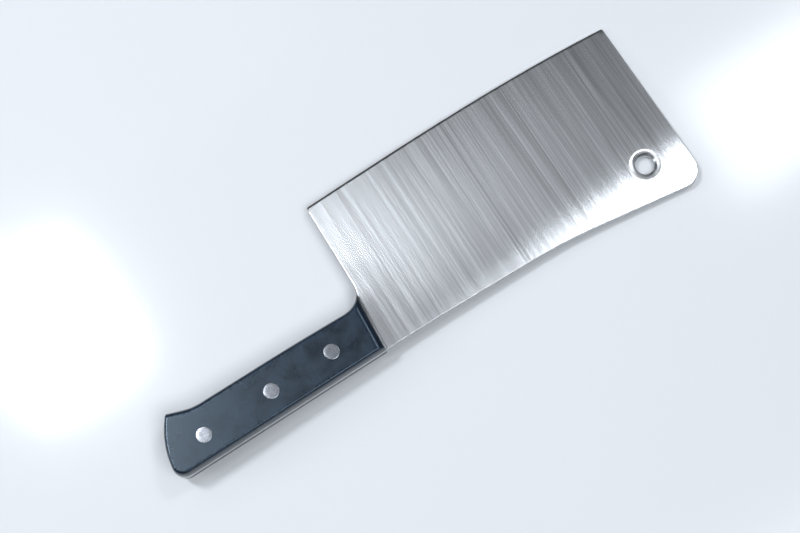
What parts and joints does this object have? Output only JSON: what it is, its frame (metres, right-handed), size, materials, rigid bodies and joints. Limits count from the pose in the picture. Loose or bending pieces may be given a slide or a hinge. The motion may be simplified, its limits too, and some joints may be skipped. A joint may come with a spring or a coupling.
{
  "type": "meat cleaver",
  "caption": "Bone cleaver with a tall ground blade, a full tang between two riveted black handle scales, and a hanging hole in the blade's front corner by the spine.",
  "frame": {"origin": "centre of the bounding box in plan, on the lower scale's flat outer face", "axes": "+X along the length from butt to the blade's front end, +Y from spine to cutting edge, +Z square to the blade's face, up"},
  "size_m": [0.3056, 0.0968, 0.02],
  "materials": {
    "blade_steel": "satin ground across the blade, from spine to edge",
    "handle_acetal": "satin moulded black, lightly scuffed",
    "rivet_metal": "ground flush with the handle, fine scratches"
  },
  "bodies": {
    "root": {"blade": "blade_steel", "handle_scale_upper": "handle_acetal", "handle_scale_lower": "handle_acetal", "rivet_pin_front": "rivet_metal", "rivet_pin_middle": "rivet_metal", "rivet_pin_butt": "rivet_metal", "rivet_sleeve_front": "rivet_metal", "rivet_sleeve_middle": "rivet_metal", "rivet_sleeve_butt": "rivet_metal"}
  },
  "joints": []
}
